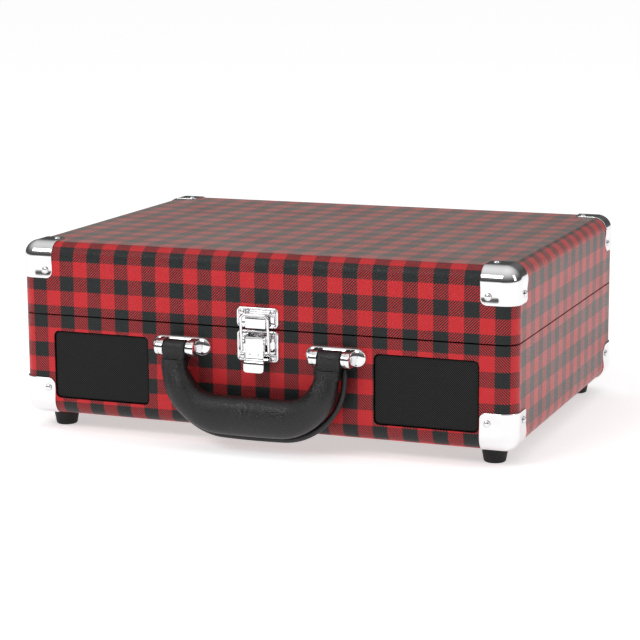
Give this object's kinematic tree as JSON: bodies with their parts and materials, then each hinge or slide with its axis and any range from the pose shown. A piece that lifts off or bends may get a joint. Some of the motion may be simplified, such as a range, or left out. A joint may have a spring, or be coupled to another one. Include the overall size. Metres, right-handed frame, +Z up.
{
  "type": "suitcase record player",
  "caption": "Portable record player in a covered suitcase: hinged lid, chrome corners, draw latch, carrying handle, front speakers and a belt-driven turntable inside.",
  "frame": {"origin": "ground plane under the feet, below the centre of the outer box", "axes": "+X to the right seen from the front, +Y to the back, +Z up"},
  "size_m": [0.3586, 0.2932, 0.1338],
  "materials": {
    "plaid_leatherette": "grained, red and black plaid",
    "case_board": "raw board",
    "velour": "short pile",
    "chrome": "polished",
    "nickel_steel": "nickel plated",
    "black_rubber": "matt",
    "grille_cloth": "woven over a frame",
    "speaker_black": "driver frame and cone",
    "lead_plastic": "insulated lead",
    "handle_leatherette": "black, fine grain",
    "deck_plastic": "textured moulding",
    "knob_plastic": "moulded",
    "platter_plastic": "moulded",
    "felt": "felt",
    "brass": "turned",
    "motor_steel": "plated can",
    "pulley_brass": "turned",
    "tonearm_metal": "satin",
    "headshell_plastic": "moulded",
    "stylus_red": "moulded",
    "weight_metal": "black",
    "led_red": "clear red",
    "jack_metal": "nickel plated",
    "board_green": "circuit board"
  },
  "bodies": {
    "base": {"base_shell": "case_board", "base_covering": "plaid_leatherette", "base_corners": "chrome", "base_rivets": "chrome", "feet": "black_rubber", "foot_screws": "nickel_steel", "grille_left": "grille_cloth", "grille_right": "grille_cloth", "speaker_left": "speaker_black", "speaker_right": "speaker_black", "speaker_leads": "lead_plastic", "handle_mounts": "chrome", "handle_pins": "nickel_steel", "latch_base_plate": "chrome", "hinge_base_leaves": "nickel_steel", "hinge_pins": "nickel_steel", "stay_base_bracket": "nickel_steel", "deck_plate": "deck_plastic", "deck_screws": "nickel_steel", "platter_bearing": "brass", "motor": "motor_steel", "drive_belt": "black_rubber", "tonearm_base": "deck_plastic", "tonearm_rest": "deck_plastic", "power_led": "led_red", "front_jacks": "jack_metal", "main_board": "board_green", "rear_panel": "deck_plastic", "rear_jacks": "jack_metal"},
    "lid": {"lid_shell": "case_board", "lid_covering": "plaid_leatherette", "lid_lining": "velour", "lid_corners": "chrome", "lid_rivets": "chrome", "latch_keeper": "chrome", "hinge_lid_leaves": "nickel_steel", "stay_lid_bracket": "nickel_steel"},
    "handle": {"handle_grip": "handle_leatherette"},
    "latch_lever": {"latch_lever": "chrome"},
    "latch_bail": {"latch_bail": "chrome"},
    "stay_lower": {"stay_lower_link": "nickel_steel"},
    "stay_upper": {"stay_upper_link": "nickel_steel"},
    "platter": {"platter": "platter_plastic", "slipmat": "felt", "spindle": "nickel_steel"},
    "motor_rotor": {"motor_pulley": "pulley_brass"},
    "tonearm_turn": {"tonearm_gimbal": "deck_plastic"},
    "tonearm": {"tonearm_tube": "tonearm_metal", "headshell": "headshell_plastic", "cartridge": "headshell_plastic", "stylus": "stylus_red", "counterweight": "weight_metal"},
    "tonearm_clip": {"tonearm_clip": "deck_plastic"},
    "cue_lever": {"cue_lever": "deck_plastic"},
    "cue_platform": {"cue_platform": "deck_plastic"},
    "volume_knob": {"volume_knob": "knob_plastic"},
    "mode_knob": {"mode_knob": "knob_plastic"},
    "speed_switch": {"speed_switch": "knob_plastic"},
    "autostop_switch": {"autostop_switch": "knob_plastic"},
    "adapter": {"adapter_45": "knob_plastic"}
  },
  "joints": [
    {"name": "lid_hinge", "type": "hinge", "parent": "base", "child": "lid", "pos_m": [0, 0.1436, 0.0822], "axis": [-1, 0, 0], "range_deg": [0, 95]},
    {"name": "stay_lower_pivot", "type": "hinge", "parent": "base", "child": "stay_lower", "pos_m": [-0.1658, 0.0736, 0.0872], "axis": [-1, 0, 0], "range_deg": [0, 95]},
    {"name": "stay_elbow", "type": "hinge", "parent": "stay_lower", "child": "stay_upper", "pos_m": [-0.164, 0.0136, 0.1122], "axis": [-1, 0, 0], "range_deg": [-95, 0]},
    {"name": "handle_swing", "type": "hinge", "parent": "base", "child": "handle", "pos_m": [0, -0.1316, 0.0675], "axis": [-1, 0, 0], "range_deg": [0, 125]},
    {"name": "latch_lever_pivot", "type": "hinge", "parent": "base", "child": "latch_lever", "pos_m": [0, -0.1266, 0.0755], "axis": [-1, 0, 0], "range_deg": [0, 150]},
    {"name": "latch_bail_pivot", "type": "hinge", "parent": "latch_lever", "child": "latch_bail", "pos_m": [0, -0.1266, 0.067], "axis": [1, 0, 0], "range_deg": [0, 150]},
    {"name": "platter_spin", "type": "hinge", "parent": "base", "child": "platter", "pos_m": [-0.052, -0.0096, 0.0747], "axis": [0, 0, -1], "continuous": true},
    {"name": "motor_spin", "type": "hinge", "parent": "base", "child": "motor_rotor", "pos_m": [-0.11246, 0.05086, 0.0747], "axis": [0, 0, -1], "continuous": true},
    {"name": "tonearm_yaw", "type": "hinge", "parent": "base", "child": "tonearm_turn", "pos_m": [0.108, 0.1014, 0.0747], "axis": [0, 0, -1], "range_deg": [0, 42]},
    {"name": "tonearm_pitch", "type": "hinge", "parent": "tonearm_turn", "child": "tonearm", "pos_m": [0.108, 0.1014, 0.1047], "axis": [-1, 0, 0], "range_deg": [0, 3]},
    {"name": "cue_lever_pivot", "type": "hinge", "parent": "base", "child": "cue_lever", "pos_m": [0.139, 0.0894, 0.0837], "axis": [-1, 0, 0], "range_deg": [0, 60]},
    {"name": "cue_lift", "type": "slide", "parent": "base", "child": "cue_platform", "axis": [0, 0, 1], "range_m": [0, 0.0019]},
    {"name": "tonearm_clip_pivot", "type": "hinge", "parent": "base", "child": "tonearm_clip", "pos_m": [0.1145, -0.0186, 0.1102], "axis": [0, -1, 0], "range_deg": [0, 90]},
    {"name": "volume_turn", "type": "hinge", "parent": "base", "child": "volume_knob", "pos_m": [0.084, -0.0726, 0.0747], "axis": [0, 0, -1], "range_deg": [-150, 150]},
    {"name": "mode_turn", "type": "hinge", "parent": "base", "child": "mode_knob", "pos_m": [0.14, -0.0726, 0.0747], "axis": [0, 0, -1], "range_deg": [-40, 40]},
    {"name": "speed_slide", "type": "slide", "parent": "base", "child": "speed_switch", "axis": [0, 1, 0], "range_m": [0, 0.01]},
    {"name": "autostop_slide", "type": "slide", "parent": "base", "child": "autostop_switch", "axis": [0, 1, 0], "range_m": [0, 0.006]},
    {"name": "adapter_lift", "type": "slide", "parent": "base", "child": "adapter", "axis": [0, 0, 1], "range_m": [0, 0.015]}
  ],
  "couplings": [
    {"joint": "stay_lower_pivot", "follows": "lid_hinge", "ratio": 1},
    {"joint": "stay_elbow", "follows": "lid_hinge", "ratio": -1},
    {"joint": "latch_bail_pivot", "follows": "latch_lever_pivot", "ratio": 1},
    {"joint": "motor_spin", "follows": "platter_spin", "ratio": 16.667},
    {"joint": "tonearm_pitch", "follows": "cue_lever_pivot", "ratio": 0.05},
    {"joint": "cue_lift", "follows": "cue_lever_pivot", "m_per_rad": 0.0018142}
  ]
}
